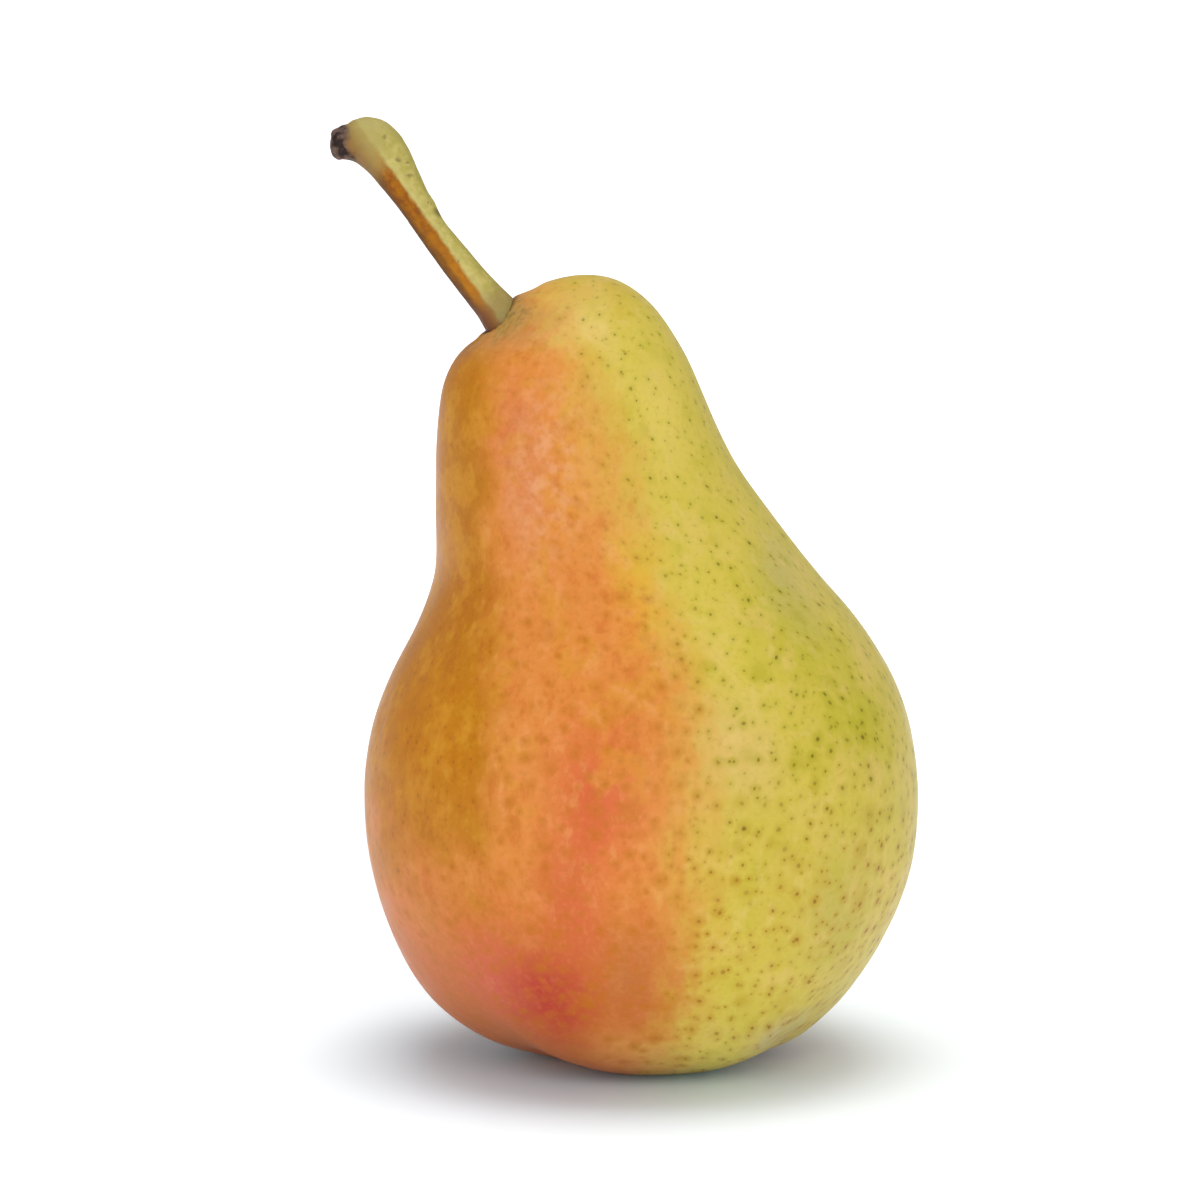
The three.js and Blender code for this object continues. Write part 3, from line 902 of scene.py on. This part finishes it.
def stem_material():
    n = Nodes("pear_stem")
    place = n.place_in_mm()
    warped = n.warp(place, 0.45, 1.4)
    z = n.parts(place)[2]
    grain = n.noise(place, 1.1, 4.0, 0.6)

    # how far the surface faces the stem's upper side, and how far it lies above the divide
    upper_side = tuple(np.cross(STEM_ALONG, (0.0, -1.0, 0.0)))
    facing = n.vector("DOT_PRODUCT", n.add("TexCoord").outputs["Normal"], upper_side)
    facing = n.math("MULTIPLY_ADD", n.math("SUBTRACT", n.noise(place, 0.5), 0.5), 0.35, facing)
    above = n.vector("SUBTRACT", n.warp(place, 0.8, 0.7, 2.0), DIVIDE_FOOT)
    above = n.vector("DOT_PRODUCT", above, DIVIDE_UP)

    # the green upper side, and the orange brown lower side with its shaded edge
    green = n.mix(n.step(grain, 0.3, 0.7), *STEM_GREENS)
    green = n.mix(n.step(facing, 0.6, 1.0, 0.0, 0.5), green, UPPERMOST_GREEN)
    # a painted highlight on the green side, along the divide
    green = n.mix(n.step(above, 1.2, 0.2, 0.0, 0.3), green, DIVIDE_HIGHLIGHT)
    brown = n.mix(n.step(grain, 0.3, 0.7), *STEM_BROWNS)
    brown = n.mix(n.step(z, 112.0, 100.0, 0.0, 0.6), brown, FOOTWARD_BROWN)
    brown = n.mix(n.step(facing, -0.4, -0.9), brown, SHADED_BROWN)
    colour = n.mix(n.step(above, -0.25, 0.3), brown, green)

    # the foot, the knob and the scar at the tip
    from_foot = n.vector("SUBTRACT", warped, tuple(STEM_FOOT / MM))
    along = n.vector("DOT_PRODUCT", from_foot, tuple(FOOT_ALONG))
    foot = n.mix(n.step(above, -1.2, 0.6), *STEM_FOOT_TONES)
    colour = n.mix(n.step(along, 8.5, 4.5, 0.0, 0.75), colour, foot)
    from_tip = n.vector("LENGTH", n.vector("SUBTRACT", warped, tuple(STEM_TIP / MM)))
    knob = n.mix(n.step(above, -3.0, 0.5), *KNOB_TONES)
    colour = n.mix(n.step(from_tip, 9.0, 5.5, 0.0, 0.85), colour, knob)
    scar = n.mix(n.step(n.noise(place, 0.9, 3.0), 0.38, 0.66), *SCAR_TONES)
    colour = n.mix(n.step(from_tip, 4.1, 3.1), colour, scar)

    # small dark marks and specks
    for _, middle, reach, strength in STEM_MARKS:
        share = n.math("MULTIPLY", patch_share(n, n.warp(place, 1.2, 0.6), middle, reach), strength)
        colour = n.mix(share, colour, MARK_TONE)
    cells = n.add("TexVoronoi", {"Vector": n.warp(place, 1.5, 0.5), "Scale": 1 / SPECKS_APART})
    specks = n.step(cells.outputs["Distance"], 0.13, 0.05, 0.0, 0.5)
    colour = n.mix(specks, colour, SPECK_TONE)

    relief = n.math("MULTIPLY_ADD", n.noise(place, 3.0, 3.0), 0.3, grain)
    return n.finish({
        "Base Color": colour,
        "Roughness": n.step(grain, 0.3, 0.7, 0.48, 0.62),
        "Specular IOR Level": 0.18,
        "Normal": n.bump(relief, 0.4, 0.2 * MM),
    })


CALYX_TONES = (tone(52, 38, 26), tone(118, 90, 58))


def calyx_material():
    n = Nodes("pear_calyx")
    grain = n.noise(n.place_in_mm(), 1.3, 4.0, 0.6)
    return n.finish({
        "Base Color": n.mix(n.step(grain, 0.35, 0.7), *CALYX_TONES),
        "Roughness": 0.85,
        "Normal": n.bump(grain, 0.6, 0.15 * MM),
    })


FLOOR_TONES = ((0.91, 0.91, 0.91, 1), (0.93, 0.93, 0.93, 1))
# a cool tint under the pear, painted to cancel the warm light that the pear throws on the floor
FLOOR_UNDER_PEAR = (0.78, 0.9, 0.96, 1)
SHADOW_GLOWS = ((0.1, 0.68, 1, 1), (0.9, 0.4, 1.3, 1))  # on the left and on the right


def floor_material():
    """A pale floor that glows, most in a strip before and behind the pear, and so runs out to white.

    Close to the pear it hardly glows, and a faint tinted glow takes the pear's tint out of its shadow.
    """
    n = Nodes("pale_floor")
    place = n.add("TexCoord").outputs["Object"]
    away = n.vector("LENGTH", place)
    x, y, _ = n.parts(place)
    colour = n.mix(n.noise(place, 3.0), *FLOOR_TONES)
    # the cool tint cancels the warm light that the pear throws on the floor near it
    colour = n.mix(n.step(away, 0.085, 0.02), colour, FLOOR_UNDER_PEAR)
    beside = n.math("MULTIPLY_ADD", y, -0.16, n.math("ABSOLUTE", x))
    strip = n.math("MULTIPLY", n.step(beside, 0.35, 0.15), n.step(away, 0.1, 0.9, 0.0, 0.55))
    glow = n.math("ADD", n.step(away, 0.02, 0.046, 0.0, 0.28), strip)
    shadow_glow = n.mix(n.step(x, 0.0, 0.03), *SHADOW_GLOWS)
    shadow_share = n.math("MULTIPLY", n.step(away, 0.06, 0.02, 0.0, 0.065), n.step(away, 0.009, 0.019))
    return n.finish({
        "Base Color": colour,
        "Roughness": 0.9,
        "Specular IOR Level": 0.1,
        "Emission Color": n.mix(shadow_share, glow, shadow_glow, "ADD"),
        "Emission Strength": 1.0,
    })


# Camera, lights and floor

AIM = Vector((-3.51, 0, 60.39)) * MM  # what the middle of the picture shows
CAMERA_DISTANCE = 0.65
CAMERA_ELEVATION = math.radians(8)
LENS = 150
SENSOR = 36
VIEW_END = 100
FLOOR_HALF = 12.0
FLOOR_Z = -0.02 * MM  # a hair below the flat spot that the pear rests on
ROOM_LIGHT = 0.42

# Softboxes, all turned towards the aim: the name, the place, the width and height, and the watts.
SOFTBOXES = [
    ("key_softbox", (0.2, -0.9, 0.7), (0.5, 0.5), 1.68),
    ("fill_softbox", (-0.8, -0.7, 0.35), (0.6, 0.6), 1.3),
    ("low_softbox", (0.1, -0.9, 0.1), (0.9, 0.14), 1.35),
    ("top_softbox", (0, 0.1, 1.3), (0.9, 0.9), 8),
]


def make_camera():
    data = bpy.data.cameras.new("camera")
    data.lens = LENS
    data.sensor_width = SENSOR
    data.clip_end = VIEW_END
    camera = add_object("camera", data)
    back = Vector((0, -math.cos(CAMERA_ELEVATION), math.sin(CAMERA_ELEVATION)))
    camera.location = AIM + CAMERA_DISTANCE * back
    camera.rotation_euler = (-back).to_track_quat("-Z", "Y").to_euler()
    scene.camera = camera


def make_softbox(name, place, size, watts):
    data = bpy.data.lights.new(name, "AREA")
    data.shape = "RECTANGLE"
    data.size, data.size_y = size
    data.energy = watts
    light = add_object(name, data)
    light.location = place
    light.rotation_euler = (AIM - light.location).to_track_quat("-Z", "Y").to_euler()


def make_stage():
    mesh = bpy.data.meshes.new("floor")
    corners = [(x * FLOOR_HALF, y * FLOOR_HALF, FLOOR_Z) for x, y in [(-1, -1), (1, -1), (1, 1), (-1, 1)]]
    mesh.from_pydata(corners, [], [(0, 1, 2, 3)])
    mesh.materials.append(floor_material())
    add_object("floor", mesh)
    world = bpy.data.worlds.new("white_room")
    world.use_nodes = True
    background = world.node_tree.nodes["Background"]
    background.inputs["Color"].default_value = (1, 1, 1, 1)
    background.inputs["Strength"].default_value = ROOM_LIGHT
    scene.world = world
    scene.view_settings.view_transform = "Standard"
    for softbox in SOFTBOXES:
        make_softbox(*softbox)


make_camera()
make_stage()
finish_piece(make_fruit(), "fruit", skin_material())
finish_piece(make_stem(), "stem", stem_material())
finish_piece(make_calyx(), "calyx", calyx_material())
